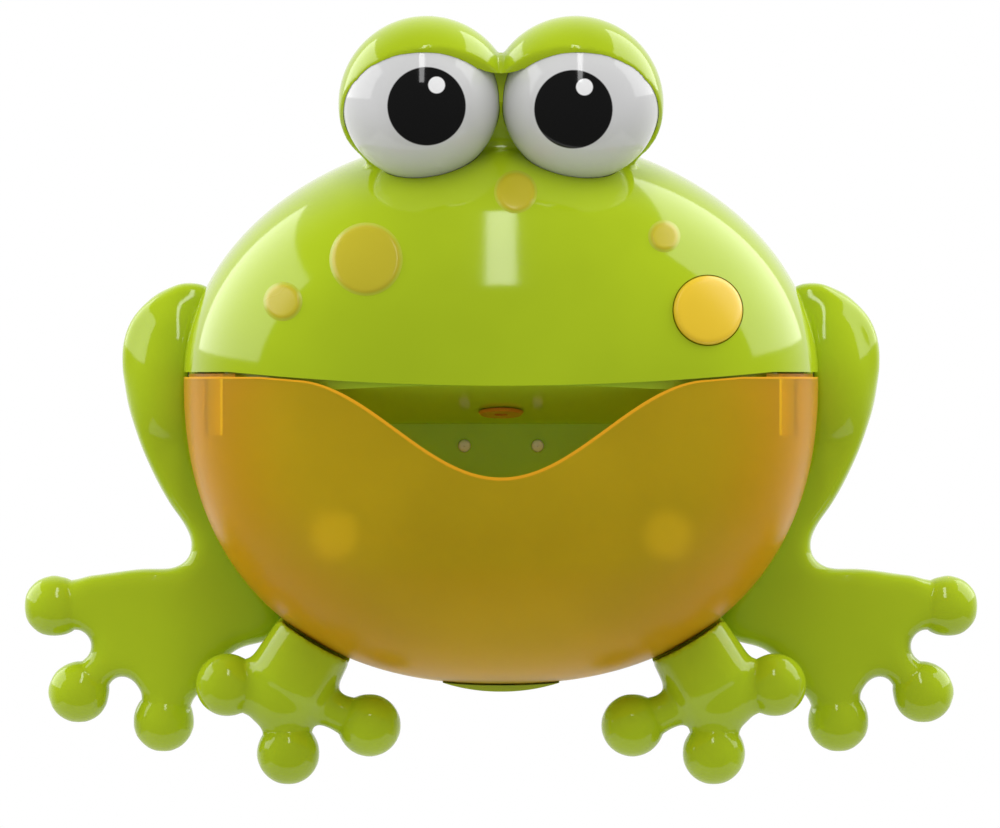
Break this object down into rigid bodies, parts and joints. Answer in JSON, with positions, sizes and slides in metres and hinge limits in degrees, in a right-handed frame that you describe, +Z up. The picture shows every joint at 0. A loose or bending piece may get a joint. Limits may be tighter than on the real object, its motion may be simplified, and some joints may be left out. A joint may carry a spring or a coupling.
{
  "type": "bubble frog bath toy",
  "caption": "Wall-hung frog bath toy that dips a ring wand in its amber soap tray and blows bubbles from its mouth, with suction cups behind and a push button on the cheek.",
  "frame": {"origin": "on the bath wall, at the middle of the four suction cups, on the frog's middle plane", "axes": "+X to the viewer's right, +Y into the wall, +Z up; the frog's face looks along -Y"},
  "size_m": [0.2298, 0.089, 0.184],
  "materials": {
    "lime_plastic": "high gloss moulded",
    "white_plastic": "gloss",
    "yellow_plastic": "gloss",
    "amber_plastic": "translucent gloss",
    "black_plastic": "matte",
    "grey_plastic": "satin",
    "board": "solder mask",
    "cell_jacket": "printed jacket",
    "steel": "plated",
    "clear_vinyl": "soft clear vinyl"
  },
  "bodies": {
    "frog_body": {"rear_shell": "lime_plastic", "head_shell": "lime_plastic", "mouth_liner": "lime_plastic", "left_eyeball": "white_plastic", "right_eyeball": "white_plastic", "push_switch": "black_plastic", "circuit_board": "board", "left_hind_leg": "lime_plastic", "right_hind_leg": "lime_plastic", "left_front_foot": "lime_plastic", "right_front_foot": "lime_plastic", "battery_cell_1": "cell_jacket", "battery_cell_2": "cell_jacket", "battery_cell_3": "cell_jacket", "battery_contact_left": "steel", "battery_contact_right": "steel", "speaker": "black_plastic", "blower_motor": "steel", "blower_scroll": "grey_plastic", "air_duct": "grey_plastic", "air_jet_left": "white_plastic", "air_jet_right": "white_plastic", "ceiling_plug": "amber_plastic", "gear_motor": "steel", "suction_cup_1": "clear_vinyl", "suction_cup_2": "clear_vinyl", "suction_cup_3": "clear_vinyl", "suction_cup_4": "clear_vinyl", "case_screw_1": "steel", "case_screw_2": "steel", "case_screw_3": "steel", "case_screw_4": "steel", "case_screw_5": "steel", "case_screw_6": "steel"},
    "button": {"power_button": "yellow_plastic"},
    "tray": {"soap_tray": "amber_plastic"},
    "door": {"battery_door": "lime_plastic"},
    "door_screw": {"battery_door_screw": "steel"},
    "fan": {"impeller": "grey_plastic"},
    "wand": {"bubble_wand": "lime_plastic", "wand_gear": "white_plastic"},
    "pinion": {"drive_pinion": "white_plastic"}
  },
  "joints": [
    {"name": "button_press", "type": "slide", "parent": "frog_body", "child": "button", "axis": [0, 1, 0], "range_m": [0, 0.0024], "stiffness_N_per_m": 600, "springref_m": -0.001},
    {"name": "tray_pull", "type": "slide", "parent": "frog_body", "child": "tray", "axis": [0, -1, 0], "range_m": [0, 0.11]},
    {"name": "door_lift", "type": "slide", "parent": "frog_body", "child": "door", "axis": [0, 1, 0], "range_m": [0, 0.03]},
    {"name": "door_screw_turn", "type": "hinge", "parent": "door", "child": "door_screw", "pos_m": [0, -0.009, 0.0227], "axis": [0, 1, 0], "continuous": true},
    {"name": "fan_spin", "type": "hinge", "parent": "frog_body", "child": "fan", "pos_m": [0, -0.05, 0.038], "axis": [0, 1, 0], "continuous": true},
    {"name": "wand_dip", "type": "hinge", "parent": "frog_body", "child": "wand", "pos_m": [0, -0.0385, -0.025], "axis": [-1, 0, 0], "range_deg": [-50, 85]},
    {"name": "pinion_turn", "type": "hinge", "parent": "frog_body", "child": "pinion", "pos_m": [0.04, -0.028, -0.025], "axis": [-1, 0, 0], "range_deg": [-60, 36]}
  ],
  "couplings": [
    {"joint": "pinion_turn", "follows": "wand_dip", "ratio": -0.66667}
  ]
}
